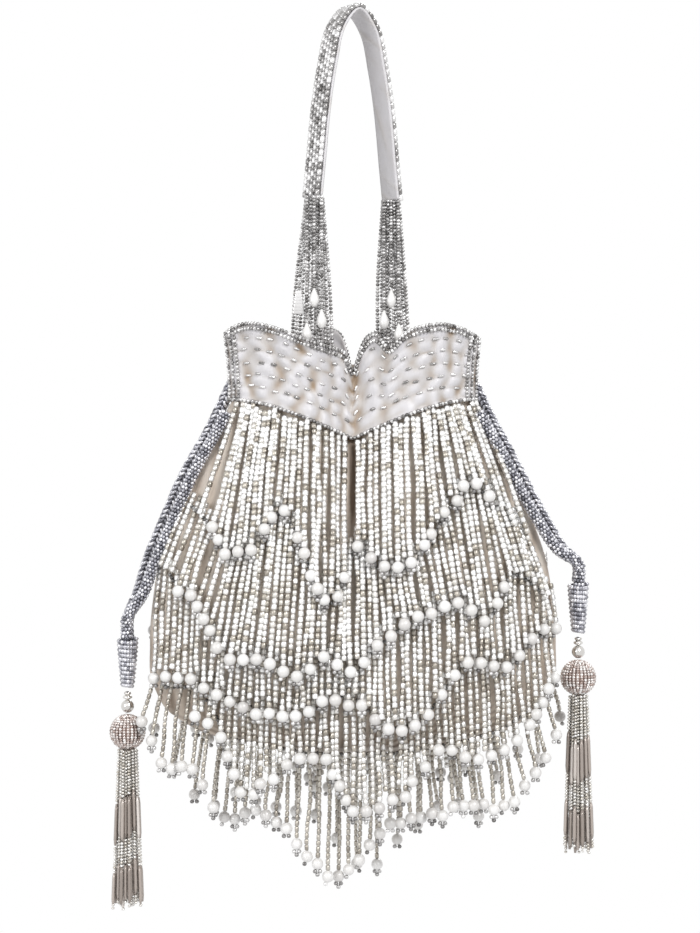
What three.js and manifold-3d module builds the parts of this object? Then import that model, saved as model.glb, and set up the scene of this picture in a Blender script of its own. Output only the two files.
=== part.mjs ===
// A potli bag: a satin pouch covered with five tiers of glass-bead fringe on each side, gathered at
// the neck under a ruffled collar, with a drawcord and a bead tassel at each side and a beaded handle.
// Millimetres, +Z up, +X to the right of the front view, -Y towards the front.
// The origin is inside the top of the handle loop, where a hook or a finger carries the bag.
import * as THREE from "three";
import Module from "manifold-3d";

const wasm = await Module();
wasm.setup();

// Driving dimensions
const handleDrop = 143; // origin to the upper edge of the collar
const collarHeight = 33; // at the sides of the collar
const collarFlare = 6; // the collar's upper edge beyond the neck, to each side
const collarLean = 4; // the collar's upper edge beyond the neck, to front and back
const collarDip = 18; // the collar's lower line at the middle, below its sides
const gatherPitch = 11;
const gatherDepth = 1.6;
const edgingDiameter = 3.2;
const pouchHeight = 160; // neck line to bottom seam
const neckHalfWidth = 56;
const bodyHalfWidth = 92;
const neckHalfDepth = 17;
const bodyHalfDepth = 34;
const clothThickness = 1.6;
const foldHalfWidth = 14; // the gathered fold down the middle of each side
const strandWidth = 2.2;
const strandPitch = 11.8;
const rowHeight = 2.4; // the sewn row of beads that carries a tier
const pearlDiameter = 5.6;
const dropLength = 3.4; // the small beads under a pearl
const tierLift = 11.6; // how far a pearl stands off the cloth, to clear the next row
const cordDiameter = 6;
const cordEndLength = 24;
const leftCordDrop = 106.6; // neck line to the top of the wrapped cord end
const rightCordDrop = 82;
const spacerDiameter = 3.6;
const silverBallDiameter = 6;
const tasselBallDiameter = 16.6;
const skirtLength = 72;
const skirtTopDiameter = 10;
const skirtEndDiameter = 14.5;
const bandWidth = 14;
const bandThickness = 1.2;
const facingThickness = 1.8;
const bandDrop = 85; // origin to the ends of the handle band
const bandHalfSpan = 20; // half the distance between those ends
const handleTurn = 30; // degrees that the handle hangs turned to the mouth
const handleStrandDiameter = 2.2;
const hangingStrandLength = 46; // the strands at the handle's ends that carry a teardrop
const teardropLength = 9;
const teardropDiameter = 4.6;
const tagLength = 9.4;
const tagWidth = 5.6;
const clearance = 0.3;
const hangGap = 0.8; // bare thread between a wrapped cord end and its tassel

const neckZ = -(handleDrop + collarHeight);
const rimZ = neckZ + collarHeight / 3; // upper edge of the pouch cloth, inside the collar
const pearlRadius = pearlDiameter / 2;
const cordRadius = cordDiameter / 2;

const satin = new THREE.MeshStandardMaterial({ color: "#efe7df", roughness: 0.45, metalness: 0 });
const tanCloth = new THREE.MeshStandardMaterial({ color: "#a58e76", roughness: 0.7, metalness: 0 });
const greyBead = new THREE.MeshStandardMaterial({ color: "#8f8d8c", roughness: 0.3, metalness: 0 });
const clearBead = new THREE.MeshStandardMaterial({ color: "#c9c3b6", roughness: 0.15, metalness: 0 });
const cordBead = new THREE.MeshStandardMaterial({ color: "#7d7d88", roughness: 0.3, metalness: 0 });
const silver = new THREE.MeshStandardMaterial({ color: "#b9b7b4", roughness: 0.25, metalness: 1 });
const copperBead = new THREE.MeshStandardMaterial({ color: "#a98474", roughness: 0.3, metalness: 0 });
const taupeBugle = new THREE.MeshStandardMaterial({ color: "#a89c94", roughness: 0.25, metalness: 0 });

const bag = new THREE.Group();
bag.name = "potli_bag";

function addPart(name, geometry, material) {
  const mesh = new THREE.Mesh(geometry, material);
  mesh.name = name;
  bag.add(mesh);
}

// Shared shape tools

// A smooth line through [position, value] pairs, level beyond its ends
function smoothLine(pairs) {
  const positions = pairs.map(([position]) => position);
  const values = pairs.map(([, value]) => value);
  const line = new THREE.CubicInterpolant(positions, values, 1);
  return (position) => line.evaluate(position)[0];
}

// Turns a closed shape's faces outwards and gives it normals
function finishSolid(points, faces) {
  let volume = 0;
  const crossed = new THREE.Vector3();
  for (const [a, b, c] of faces) volume += points[a].dot(crossed.crossVectors(points[b], points[c]));
  const turned = volume > 0 ? faces : faces.map(([a, b, c]) => [a, c, b]);
  const geometry = new THREE.BufferGeometry().setFromPoints(points);
  geometry.setIndex(turned.flat());
  geometry.computeVertexNormals();
  return geometry;
}

function addQuad(faces, a, b, c, d) {
  faces.push([a, b, c], [a, c, d]);
}

// Skins a row of rings that have equally many points, and closes both ends to their middles
function loft(rings) {
  const count = rings[0].length;
  const points = rings.flat();
  const faces = [];
  for (let row = 0; row < rings.length - 1; row++) {
    for (let i = 0; i < count; i++) {
      const next = (i + 1) % count;
      const low = row * count;
      addQuad(faces, low + i, low + next, low + count + next, low + count + i);
    }
  }
  for (const [ring, start, isFirst] of [[rings[0], 0, true], [rings.at(-1), points.length - count, false]]) {
    const middle = ring.reduce((sum, point) => sum.add(point), new THREE.Vector3()).divideScalar(count);
    const hub = points.push(middle) - 1;
    for (let i = 0; i < count; i++) {
      const next = (i + 1) % count;
      faces.push(isFirst ? [hub, start + next, start + i] : [hub, start + i, start + next]);
    }
  }
  return finishSolid(points, faces);
}

// A round tube whose rings sit on the given points, with its section held square to a fixed direction
function tubeThrough(path, radius, sides, fixed) {
  const rings = path.map((point, i) => {
    const ahead = path[Math.min(i + 1, path.length - 1)].clone().sub(path[Math.max(i - 1, 0)]).normalize();
    const side = new THREE.Vector3().crossVectors(fixed, ahead).normalize();
    const up = new THREE.Vector3().crossVectors(ahead, side);
    return Array.from({ length: sides }, (_, k) => {
      const angle = (2 * Math.PI * (k + 0.5)) / sides;
      return point.clone()
        .addScaledVector(side, radius * Math.cos(angle))
        .addScaledVector(up, radius * Math.sin(angle));
    });
  });
  return loft(rings);
}

// A tube extruded along a smooth path
function cordAlong(path, diameter, sides, steps) {
  const section = new THREE.Shape(Array.from({ length: sides }, (_, k) => {
    const angle = (2 * Math.PI * k) / sides;
    return new THREE.Vector2(Math.cos(angle), Math.sin(angle)).multiplyScalar(diameter / 2);
  }));
  const extrudePath = new THREE.CatmullRomCurve3(path);
  return new THREE.ExtrudeGeometry(section, { steps, curveSegments: 1, extrudePath });
}

// A turned shape about the vertical line through a place; its profile runs from the axis to the axis
function turned(profile, sides, x, y, z) {
  const outline = profile.map(([radius, height]) => new THREE.Vector2(radius, height));
  return new THREE.LatheGeometry(outline, sides).rotateX(Math.PI / 2).translate(x, y, z);
}

// A ball's profile, from its foot to its crown
function ballProfile(radius, rows) {
  return Array.from({ length: rows + 1 }, (_, i) => {
    const angle = (Math.PI * i) / rows;
    const onAxis = i === 0 || i === rows;
    return [onAxis ? 0 : radius * Math.sin(angle), -radius * Math.cos(angle)];
  });
}

// A solid for joining: shared corners, nothing but positions
function toManifold(geometry) {
  const source = geometry.index ? geometry.toNonIndexed() : geometry;
  const position = source.getAttribute("position");
  const seen = new Map();
  const vertices = [];
  const triangles = [];
  for (let face = 0; face < position.count; face += 3) {
    const corners = [0, 1, 2].map((k) => {
      const point = new THREE.Vector3().fromBufferAttribute(position, face + k);
      const key = point.toArray().map((value) => Math.round(value * 1000)).join(",");
      if (!seen.has(key)) {
        seen.set(key, vertices.length / 3);
        vertices.push(...point.toArray());
      }
      return seen.get(key);
    });
    if (new Set(corners).size === 3) triangles.push(...corners);
  }
  const mesh = new wasm.Mesh({
    numProp: 3,
    vertProperties: new Float32Array(vertices),
    triVerts: new Uint32Array(triangles),
  });
  mesh.merge();
  return new wasm.Manifold(mesh);
}

function fromManifold(solid) {
  const mesh = solid.getMesh();
  const geometry = new THREE.BufferGeometry();
  geometry.setAttribute("position", new THREE.BufferAttribute(new Float32Array(mesh.vertProperties), 3));
  geometry.setIndex(new THREE.BufferAttribute(new Uint32Array(mesh.triVerts), 1));
  geometry.computeVertexNormals();
  return geometry;
}

function joined(geometries) {
  return fromManifold(wasm.Manifold.union(geometries.map(toManifold)));
}

// The cloth form: half width, half depth and middle fold against the drop below the neck line

const grow = (share) => neckHalfWidth + (bodyHalfWidth - neckHalfWidth) * share;
const deepen = (share) => neckHalfDepth + (bodyHalfDepth - neckHalfDepth) * share;
const formHalfWidth = smoothLine([
  [-collarHeight, neckHalfWidth + collarFlare],
  [-collarHeight / 3, neckHalfWidth + collarFlare / 5],
  [0, neckHalfWidth],
  [pouchHeight * 0.09, grow(0.15)],
  [pouchHeight * 0.2, grow(0.43)],
  [pouchHeight * 0.31, grow(0.65)],
  [pouchHeight * 0.43, grow(0.85)],
  [pouchHeight * 0.56, grow(0.96)],
  [pouchHeight * 0.69, bodyHalfWidth],
  [pouchHeight * 0.81, bodyHalfWidth * 0.98],
  [pouchHeight * 0.9, bodyHalfWidth * 0.86],
  [pouchHeight * 0.96, bodyHalfWidth * 0.62],
  [pouchHeight, bodyHalfWidth * 0.25],
]);
const formHalfDepth = smoothLine([
  [-collarHeight, neckHalfDepth + collarLean],
  [-collarHeight / 3, neckHalfDepth + collarLean / 8],
  [0, neckHalfDepth],
  [pouchHeight * 0.09, deepen(0.18)],
  [pouchHeight * 0.2, deepen(0.53)],
  [pouchHeight * 0.31, deepen(0.82)],
  [pouchHeight * 0.43, bodyHalfDepth],
  [pouchHeight * 0.56, bodyHalfDepth],
  [pouchHeight * 0.69, bodyHalfDepth * 0.91],
  [pouchHeight * 0.81, bodyHalfDepth * 0.76],
  [pouchHeight * 0.9, bodyHalfDepth * 0.58],
  [pouchHeight * 0.96, bodyHalfDepth * 0.38],
  [pouchHeight, bodyHalfDepth * 0.16],
]);
const formFold = smoothLine([
  [0, 0.75],
  [pouchHeight * 0.2, 0.55],
  [pouchHeight * 0.31, 0.38],
  [pouchHeight * 0.43, 0.22],
  [pouchHeight * 0.56, 0.08],
  [pouchHeight * 0.69, 0],
]);

// How far the cloth stands off the bag's middle plane at a place across and at a height
function clothOut(x, z) {
  const drop = neckZ - z;
  const across = Math.min(1, Math.abs(x) / formHalfWidth(drop));
  const crown = Math.pow(1 - across * across, 0.6);
  const fold = 1 - formFold(drop) * Math.exp(-((x / foldHalfWidth) ** 2));
  return formHalfDepth(drop) * crown * fold;
}

// Pouch: one shell, up the outside, over the rim and down the inside

const ringPoints = 28;

function pouchRing(z, inset) {
  const halfWidth = formHalfWidth(neckZ - z) - 2 * inset;
  return Array.from({ length: ringPoints }, (_, i) => {
    const angle = (2 * Math.PI * i) / ringPoints;
    const x = halfWidth * Math.cos(angle);
    const side = i % (ringPoints / 2) === 0 ? 0 : Math.sign(Math.sin(angle));
    return new THREE.Vector3(x, side * Math.max(0.2, clothOut(x, z) - inset), z);
  });
}

const outerDrops = [1, 0.96, 0.9, 0.81, 0.67, 0.5, 0.36, 0.22, 0.09, 0];
const innerDrops = [0.06, 0.3, 0.5, 0.75, 0.88];
addPart("pouch", loft([
  ...outerDrops.map((share) => pouchRing(neckZ - share * pouchHeight, 0)),
  pouchRing(rimZ, 0),
  pouchRing(rimZ, clothThickness),
  ...innerDrops.map((share) => pouchRing(neckZ - share * pouchHeight, clothThickness)),
]), tanCloth);

// Collar: a ruffled flap on each side, its beaded edging round the top and the two ends

const collarColumns = 28;
const collarRows = 2;
const collarSeat = 1.5; // the flap's inner face off the pouch
const collarReach = 0.94; // share of the half width; the drawcords leave through the slits between the flaps

function collarFoot(x) {
  return neckZ - collarDip * Math.pow(Math.max(0, 1 - Math.abs(x) / neckHalfWidth), 1.6);
}

// The collar's upper edge as drops below the origin-side edge line, across its half width
const collarCrest = smoothLine([
  [-1, 6], [-0.84, 0], [-0.6, 0.5], [-0.42, 5], [-0.22, 9], [-0.05, 12], [0.04, 12],
  [0.16, 5], [0.27, 10], [0.38, 4], [0.55, 0], [0.82, 2], [1, 8],
]);

function collarPoint(column, row, outward) {
  const across = -collarReach + (2 * collarReach * column) / collarColumns;
  const rise = row / collarRows;
  const footX = across * formHalfWidth(0);
  const z = THREE.MathUtils.lerp(collarFoot(footX), -handleDrop - collarCrest(across), rise);
  const x = across * formHalfWidth(neckZ - z);
  const gather = gatherDepth * rise * (1 - Math.cos((2 * Math.PI * footX) / gatherPitch));
  const out = clothOut(x, z) + collarSeat + gather + outward;
  return new THREE.Vector3(x, -out, z);
}

function collarFlap() {
  const points = [];
  const faces = [];
  const width = collarRows + 1;
  const layer = (collarColumns + 1) * width;
  for (const outward of [0, clothThickness]) {
    for (let column = 0; column <= collarColumns; column++) {
      for (let row = 0; row <= collarRows; row++) points.push(collarPoint(column, row, outward));
    }
  }
  const at = (column, row, side) => side * layer + column * width + row;
  for (let column = 0; column < collarColumns; column++) {
    for (let row = 0; row < collarRows; row++) {
      const corners = [[column, row], [column + 1, row], [column + 1, row + 1], [column, row + 1]];
      addQuad(faces, ...corners.map(([c, r]) => at(c, r, 1)));
      addQuad(faces, ...corners.toReversed().map(([c, r]) => at(c, r, 0)));
    }
    for (const [row, first, second] of [[0, column, column + 1], [collarRows, column + 1, column]]) {
      addQuad(faces, at(first, row, 0), at(second, row, 0), at(second, row, 1), at(first, row, 1));
    }
  }
  for (let row = 0; row < collarRows; row++) {
    for (const [column, first, second] of [[0, row + 1, row], [collarColumns, row, row + 1]]) {
      addQuad(faces, at(column, first, 0), at(column, second, 0), at(column, second, 1), at(column, first, 1));
    }
  }
  return finishSolid(points, faces);
}

function collarEdging() {
  const away = edgingDiameter / 2 + clearance;
  const path = [];
  for (let row = 0; row <= collarRows; row++) {
    path.push(collarPoint(0, row, clothThickness / 2).add(new THREE.Vector3(-away, 0, 0)));
  }
  for (let column = 0; column <= collarColumns; column++) {
    path.push(collarPoint(column, collarRows, clothThickness / 2).add(new THREE.Vector3(0, 0, away)));
  }
  for (let row = collarRows; row >= 0; row--) {
    path.push(collarPoint(collarColumns, row, clothThickness / 2).add(new THREE.Vector3(away, 0, 0)));
  }
  return tubeThrough(path, edgingDiameter / 2, 4, new THREE.Vector3(0, 1, 0));
}

// Fringe tiers: a sewn row of beads with hanging strands, each ending in a pearl and small beads.
// Hems are [across, down] as shares of the body's half width and the pouch's height.

const tiers = [
  { fan: 0.74, hem: [[-0.69, 0.34], [-0.6, 0.42], [-0.5, 0.41], [-0.32, 0.31], [-0.23, 0.42], [-0.14, 0.55],
    [-0.07, 0.53], [0.01, 0.4], [0.11, 0.45], [0.29, 0.44], [0.42, 0.33], [0.55, 0.23], [0.7, 0.29]] },
  { fan: 0.87, hem: [[-0.85, 0.51], [-0.74, 0.57], [-0.65, 0.67], [-0.4, 0.71], [-0.27, 0.75], [-0.14, 0.71],
    [0, 0.74], [0.12, 0.67], [0.4, 0.57], [0.53, 0.56], [0.65, 0.6], [0.76, 0.48]] },
  { fan: 0.95, hem: [[-0.93, 0.77], [-0.74, 0.78], [-0.55, 0.83], [-0.24, 0.86], [-0.01, 0.81], [0.18, 0.9],
    [0.34, 0.87], [0.53, 0.73], [0.73, 0.73], [0.89, 0.64]] },
  { fan: 0.96, hem: [[-0.76, 0.79], [-0.68, 0.85], [-0.53, 1.08], [-0.4, 1.04], [-0.23, 0.98], [-0.11, 1],
    [-0.02, 1.11], [0.1, 1.12], [0.24, 1.08], [0.42, 0.96], [0.61, 0.99], [0.86, 0.89], [0.96, 0.78]] },
  { fan: 0.93, hem: [[-0.97, 0.94], [-0.92, 1], [-0.79, 1.01], [-0.62, 1.17], [-0.5, 1.14], [-0.27, 1.23],
    [-0.08, 1.33], [0.16, 1.19], [0.45, 1.15], [0.55, 1.12], [0.74, 1.14], [0.9, 1.03], [0.99, 0.93]] },
];

// The lowest height at which the cloth still reaches a place across
function clothFoot(x) {
  const widest = neckZ - pouchHeight * 0.69;
  const bottom = neckZ - pouchHeight;
  const steps = 100;
  for (let i = 0; i < steps; i++) {
    const z = THREE.MathUtils.lerp(bottom, widest, i / steps);
    if (formHalfWidth(neckZ - z) > Math.abs(x) + 4) return z;
  }
  return widest;
}

function hemHeight(tier) {
  return smoothLine(tier.hem.map(([across, down]) => [across * bodyHalfWidth, neckZ - down * pouchHeight]));
}

// The line that a tier is sewn along: under the collar, then just above the hem of the tier over it
function rowHeightAt(index) {
  if (index === 0) return (x) => collarFoot(x) - rowHeight - 1.5;
  const above = hemHeight(tiers[index - 1]);
  const rise = pearlDiameter + 1.5;
  return (x) => Math.max(above(x) + rise, clothFoot(x) + rowHeight);
}

function strandRings(index, hemX) {
  const tier = tiers[index];
  const topX = hemX * tier.fan;
  const topZ = rowHeightAt(index)(topX);
  const hemZ = Math.min(hemHeight(tier)(hemX), topZ - 4 * pearlDiameter);
  const seat = strandWidth / 2 + (index === 0 ? 2.7 : 2.1);
  const lift = index === tiers.length - 1 ? seat + 0.5 : tierLift;
  let out = 0;
  const place = (share) => {
    const x = THREE.MathUtils.lerp(topX, hemX, share);
    const z = THREE.MathUtils.lerp(topZ, hemZ, share);
    out = Math.max(out, clothOut(x, z));
    return new THREE.Vector3(x, -(out + THREE.MathUtils.lerp(seat, lift, share)), z);
  };
  const square = (centre, half, dz) => [[-1, -1], [1, -1], [1, 1], [-1, 1]].map(([side, deep]) =>
    new THREE.Vector3(centre.x + side * half, centre.y + deep * half, centre.z + dz));
  const top = place(0);
  const middle = place(0.5);
  const pearl = place(1);
  return [
    square(top, strandWidth / 2, rowHeight / 2),
    square(top, strandWidth / 2, -rowHeight / 2),
    ...(index < 2 ? [square(middle, strandWidth / 2, 0)] : []),
    square(pearl, strandWidth / 2, pearlRadius),
    square(pearl, pearlRadius, 0),
    square(pearl, strandWidth / 3, -pearlRadius - dropLength),
  ];
}

function fringeTier(index) {
  const hem = tiers[index].hem;
  const start = hem[0][0] * bodyHalfWidth;
  const end = hem.at(-1)[0] * bodyHalfWidth;
  const count = Math.round((end - start) / strandPitch) + 1;
  const points = [];
  const faces = [];
  const strands = Array.from({ length: count }, (_, i) => {
    const rings = strandRings(index, THREE.MathUtils.lerp(start, end, i / (count - 1)));
    return rings.map((ring) => ring.map((point) => points.push(point) - 1));
  });
  const skin = (upper, lower, i) => addQuad(faces, upper[i], lower[i], lower[(i + 1) % 4], upper[(i + 1) % 4]);
  strands.forEach((rings, strand) => {
    const isFirst = strand === 0;
    const isLast = strand === count - 1;
    addQuad(faces, ...rings[0]);
    addQuad(faces, ...rings.at(-1).toReversed());
    for (let row = 0; row < rings.length - 1; row++) {
      for (let i = 0; i < 4; i++) {
        const joinsNext = row === 0 && i === 1 && !isLast;
        const joinsLast = row === 0 && i === 3 && !isFirst;
        if (!joinsNext && !joinsLast) skin(rings[row], rings[row + 1], i);
      }
    }
    if (isLast) return;
    const [upper, lower] = rings;
    const [nextUpper, nextLower] = strands[strand + 1];
    addQuad(faces, upper[1], lower[1], nextLower[0], nextUpper[0]);
    addQuad(faces, nextUpper[3], nextLower[3], lower[2], upper[2]);
    addQuad(faces, upper[2], upper[1], nextUpper[0], nextUpper[3]);
    addQuad(faces, lower[1], lower[2], nextLower[3], nextLower[0]);
  });
  return finishSolid(points, faces);
}

// Front and back are made alike, the back one turned half round
for (const [side, turn] of [["front", 0], ["back", Math.PI]]) {
  addPart(`collar_${side}`, collarFlap().rotateZ(turn), satin);
  addPart(`collar_${side}_edging`, collarEdging().rotateZ(turn), greyBead);
  tiers.forEach((_, index) => addPart(`fringe_${side}_${index + 1}`, fringeTier(index).rotateZ(turn), clearBead));
}

// Handle: a satin band faced with beads outside, and bead strands from its ends into the mouth

function turnedToHandle(point) {
  return point.applyAxisAngle(new THREE.Vector3(0, 0, 1), THREE.MathUtils.degToRad(handleTurn));
}

// Half of the loop from the top to a band end, as shares of the half span and the drop
const handleLoop = [[1, 1], [0.92, 0.83], [0.78, 0.52], [0.62, 0.3], [0.4, 0.1], [0, 0]];

function handleStrip(depth, lift, corrugations) {
  const half = handleLoop.map(([across, down]) =>
    new THREE.Vector3(-across * bandHalfSpan, 0, bandThickness / 2 - down * bandDrop));
  const rest = half.slice(0, -1).reverse().map((point) => new THREE.Vector3(-point.x, 0, point.z));
  const loop = new THREE.CatmullRomCurve3([...half, ...rest]).getPoints(22);
  const rings = loop.map((point, i) => {
    const ahead = loop[Math.min(i + 1, loop.length - 1)].clone().sub(loop[Math.max(i - 1, 0)]).normalize();
    const outward = new THREE.Vector3().crossVectors(ahead, new THREE.Vector3(0, 1, 0)).negate();
    const at = (across, off) => turnedToHandle(
      point.clone().addScaledVector(outward, off).add(new THREE.Vector3(0, across * bandWidth, 0)));
    const crest = Array.from({ length: 2 * corrugations + 1 }, (_, k) =>
      at(-0.5 + k / (2 * corrugations), lift + (k % 2 ? depth : depth * 0.45)));
    const flat = corrugations ? crest : [at(-0.5, lift + depth), at(0.5, lift + depth)];
    return [...flat, at(0.5, lift), at(-0.5, lift)];
  });
  return loft(rings);
}

addPart("handle_band", handleStrip(bandThickness, -bandThickness / 2, 0), satin);
addPart("handle_facing", handleStrip(facingThickness, bandThickness / 2 + clearance, 2), greyBead);

// Where the band ends and its strands are bound
function handleEnd(sign) {
  return turnedToHandle(new THREE.Vector3(sign * bandHalfSpan, 0, -bandDrop - clearance));
}

const sewnFeet = [0.52, 0.36, 0.2]; // shares of the neck's half width

// A strand from the band's end to the front or back of the neck
function sewnStrand(sign, side, across) {
  const end = handleEnd(sign);
  const seat = clothThickness + clearance + handleStrandDiameter / 2 + 0.3;
  const footX = sign * across * neckHalfWidth;
  const footZ = rimZ - 4;
  const foot = new THREE.Vector3(footX, side * (clothOut(footX, footZ) - seat), footZ);
  const start = new THREE.Vector3(
    end.x + sign * (Math.abs(footX) - bandHalfSpan) * 0.12, end.y - 2 * sign + 1.2 * side, end.z - 2);
  const middle = start.clone().lerp(foot, 0.55).add(new THREE.Vector3(0, 0, 4));
  return [start, middle, foot];
}

// Bead strands at one end of the band: sewn ones to the front and back of the neck, and hanging pearls
function handleStrands(sign) {
  const end = handleEnd(sign);
  const knotHeight = 5;
  const knotRadius = 6.2;
  const hangSpread = 3.3;
  const hangSeat = 4.4; // to the outer side, clear of the sewn strands
  const pieces = [turned([[0, -knotHeight], [knotRadius, -knotHeight], [knotRadius, 0], [0, 0]],
    6, end.x, end.y, end.z)];
  for (const side of [-1, 1]) {
    for (const across of sewnFeet) {
      pieces.push(cordAlong(sewnStrand(sign, side, across), handleStrandDiameter, 4, 4));
    }
  }
  for (const [across, share] of [[1, 1.22], [0, 0.88], [-1, 1.09]]) {
    const radius = handleStrandDiameter / 2;
    const length = hangingStrandLength * share;
    const teardrop = [
      [0, -length - teardropLength], [teardropDiameter / 2, -length - teardropLength * 0.72],
      [teardropDiameter / 2.4, -length - teardropLength * 0.45], [radius * 0.8, -length],
      [radius * 0.8, -1], [0, -1],
    ];
    pieces.push(turned(teardrop, 4, end.x + sign * across * hangSpread, end.y + sign * hangSeat, end.z));
  }
  return joined(pieces);
}

// A metal pull that hangs by a wire ring on one of the strands at the left
function pullTag() {
  const place = sewnStrand(-1, -1, sewnFeet[0])[1];
  const wire = 0.45;
  const slack = 0.7;
  const neck = 1.2;
  const thin = 0.5;
  const ringRadius = handleStrandDiameter / 2 + slack + wire;
  const ring = new THREE.TorusGeometry(ringRadius, wire, 4, 10).translate(place.x, place.y, place.z);
  const outline = [[neck, neck], [neck, -neck], [tagWidth / 2, thin - tagLength], [tagWidth / 2 - thin, -tagLength]];
  const tag = loft(outline.map(([half, rise]) =>
    [[-half, -thin], [half, -thin], [half, thin], [-half, thin]].map(([x, y]) =>
      new THREE.Vector3(place.x + x, place.y - ringRadius + y, place.z + rise))));
  return joined([ring, tag]);
}

addPart("handle_strands_left", handleStrands(-1), greyBead);
addPart("handle_strands_right", handleStrands(1), greyBead);
addPart("pull_tag", pullTag(), silver);

// Drawcords: two bead ropes down each side of the pouch into a wrapped end, then a bead tassel

// The middle of a rope that lies on the cloth, a given way round from the side seam
function ropePlace(sign, z, turn) {
  const drop = neckZ - z;
  const width = formHalfWidth(drop);
  const onCloth = (angle) => new THREE.Vector2(
    width * Math.cos(angle), clothOut(width * Math.cos(angle), z) * Math.sign(angle));
  const seat = cordRadius + clearance + 0.6;
  if (turn === 0) return new THREE.Vector3(sign * (width + seat), 0, z);
  const along = onCloth(turn + 0.02).sub(onCloth(turn - 0.02)).normalize();
  const place = onCloth(turn).add(new THREE.Vector2(along.y, -along.x).multiplyScalar(seat));
  return new THREE.Vector3(sign * place.x, -place.y, z);
}

function drawcord(side, sign, cordDrop) {
  const endTopZ = neckZ - cordDrop;
  const endX = sign * (bodyHalfWidth + tasselBallDiameter / 2 + 1.5);
  const endY = -cordRadius;
  const levels = [0.14, 0.32, 0.5, 0.68, 0.82];
  const outer = [new THREE.Vector3(sign * (neckHalfWidth + cordRadius + 1), 0, neckZ + 4)];
  const inner = [ropePlace(sign, neckZ - cordDiameter, 0.34)];
  for (const share of levels) {
    const swing = Math.max(0, (share - 0.5) / 0.5) ** 2; // the ropes leave the cloth on their way down
    for (const [rope, turn] of [[outer, 0], [inner, 0.3]]) {
      const place = ropePlace(sign, neckZ - share * cordDrop, turn);
      rope.push(place.setX(THREE.MathUtils.lerp(place.x, endX, swing)));
    }
  }
  const half = cordRadius + clearance;
  for (const above of [8, 0.7]) {
    outer.push(new THREE.Vector3(endX, endY + half, endTopZ + above));
    inner.push(new THREE.Vector3(endX, endY - half, endTopZ + above));
  }
  addPart(`cord_${side}_outer`, cordAlong(outer, cordDiameter, 8, 10), cordBead);
  addPart(`cord_${side}_inner`, cordAlong(inner, cordDiameter, 8, 10), cordBead);

  // Wrapped end: turns of bead string, narrower towards the foot
  const turns = 6;
  const turnHeight = (cordEndLength - 2) / turns;
  const wrapRadius = (k) => THREE.MathUtils.lerp(2 * cordRadius + 0.4, cordRadius + 0.6, k / turns);
  const wrap = [[0, 0], [wrapRadius(0) - 0.6, 0]];
  for (let k = 0; k < turns; k++) {
    wrap.push([wrapRadius(k), -(k + 0.5) * turnHeight], [wrapRadius(k + 1) - 0.6, -(k + 1) * turnHeight]);
  }
  wrap.push([spacerDiameter / 4, -cordEndLength], [0, -cordEndLength]);
  const flatness = 0.7; // the two ropes lie one behind the other, so the wrap is an oval
  addPart(`cord_end_${side}`,
    turned(wrap.reverse(), 8, 0, 0, 0).scale(flatness, 1, 1).translate(endX, endY, endTopZ), cordBead);

  // Tassel beads, each hung just under the one above
  let z = endTopZ - cordEndLength - hangGap;
  const hang = (name, diameter, sides, rows, material) => {
    const ball = turned(ballProfile(diameter / 2, rows), sides, endX, endY, z - diameter / 2);
    addPart(`${name}_${side}`, ball, material);
    z -= diameter + clearance;
  };
  hang("spacer", spacerDiameter, 8, 4, silver);
  hang("silver_ball", silverBallDiameter, 8, 6, silver);
  hang("tassel_ball", tasselBallDiameter, 14, 8, copperBead);
  addPart(`tassel_skirt_${side}`, tasselSkirt(endX, endY, z), taupeBugle);
}

// A tassel's bundle of bugle strands, fluted by the strands and uneven at the foot
function tasselSkirt(x, y, z) {
  const strands = 11;
  const levels = [[0, 0.55], [0.03, 1], [0.32, 1], [0.6, 1], [1, 1]];
  return loft(levels.map(([share, fullness]) =>
    Array.from({ length: 2 * strands }, (_, i) => {
      const angle = (Math.PI * i) / strands;
      const diameter = THREE.MathUtils.lerp(skirtTopDiameter, skirtEndDiameter, share) * fullness;
      const radius = diameter / 2 - (i % 2) * 1.1;
      const uneven = share === 1 ? 1.5 * Math.sin(3 * angle + 1) - 1.5 : 0;
      return new THREE.Vector3(
        x + radius * Math.cos(angle), y + radius * Math.sin(angle), z - share * (skirtLength - 3) + uneven);
    })));
}

drawcord("left", -1, leftCordDrop);
drawcord("right", 1, rightCordDrop);

export default bag;
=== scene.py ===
import math
import bmesh
import bpy
import numpy as np
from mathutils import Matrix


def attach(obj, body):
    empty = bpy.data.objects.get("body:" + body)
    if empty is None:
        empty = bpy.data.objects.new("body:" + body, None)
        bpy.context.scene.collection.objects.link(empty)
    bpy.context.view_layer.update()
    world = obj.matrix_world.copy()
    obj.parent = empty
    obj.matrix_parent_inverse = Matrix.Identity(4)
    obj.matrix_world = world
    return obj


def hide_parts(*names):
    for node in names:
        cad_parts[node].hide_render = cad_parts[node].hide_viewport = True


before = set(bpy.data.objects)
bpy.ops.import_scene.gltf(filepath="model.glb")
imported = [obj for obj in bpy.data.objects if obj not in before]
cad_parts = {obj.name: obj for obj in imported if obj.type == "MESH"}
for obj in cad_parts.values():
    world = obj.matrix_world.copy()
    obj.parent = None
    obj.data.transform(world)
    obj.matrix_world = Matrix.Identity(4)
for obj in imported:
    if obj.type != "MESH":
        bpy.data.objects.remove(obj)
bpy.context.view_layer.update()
rng = np.random.default_rng(11)
mm = 0.001
print("frame loaded:", len(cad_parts), "nodes")


# materials

def toLinear(hexColor):
    parts = [int(hexColor[i:i + 2], 16) / 255 for i in (1, 3, 5)]
    return [c / 12.92 if c <= 0.04045 else ((c + 0.055) / 1.055) ** 2.4 for c in parts] + [1.0]


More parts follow.
